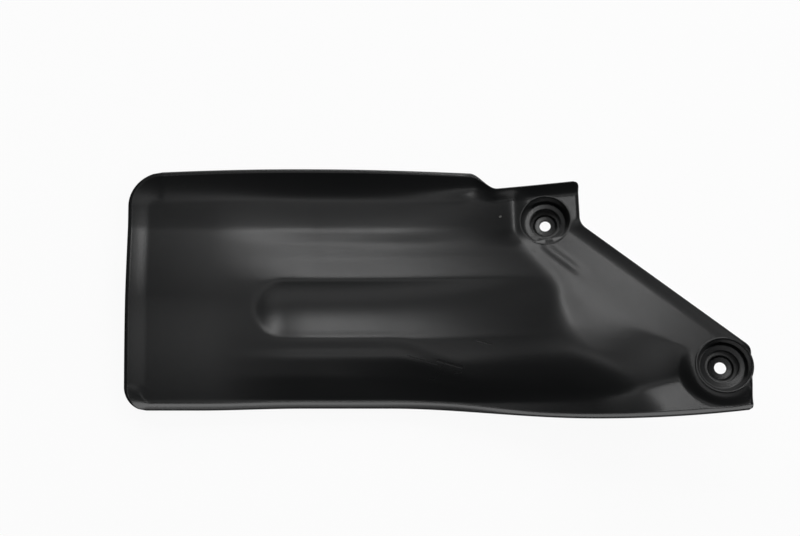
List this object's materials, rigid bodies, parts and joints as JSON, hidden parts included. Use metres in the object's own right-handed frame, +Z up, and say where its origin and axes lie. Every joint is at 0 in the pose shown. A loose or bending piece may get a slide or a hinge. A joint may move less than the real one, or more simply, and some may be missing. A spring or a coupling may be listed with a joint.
{
  "type": "mud flap",
  "caption": "Moulded thin-wall shock mud flap: a long crowned panel with a groove and turned-up edges, rising into an arm with stepped bolt cups.",
  "frame": {"origin": "middle of the bounding box in plan, at its lowest level, where the flap rests", "axes": "+X along the flap from its free end to the arm, +Y across it towards the upper bolt cup's edge, +Z up, square to the surface it rests on"},
  "size_m": [0.3507, 0.1464, 0.0427],
  "materials": {
    "flap_plastic": "satin"
  },
  "bodies": {
    "root": {"mud_flap": "flap_plastic"}
  },
  "joints": []
}
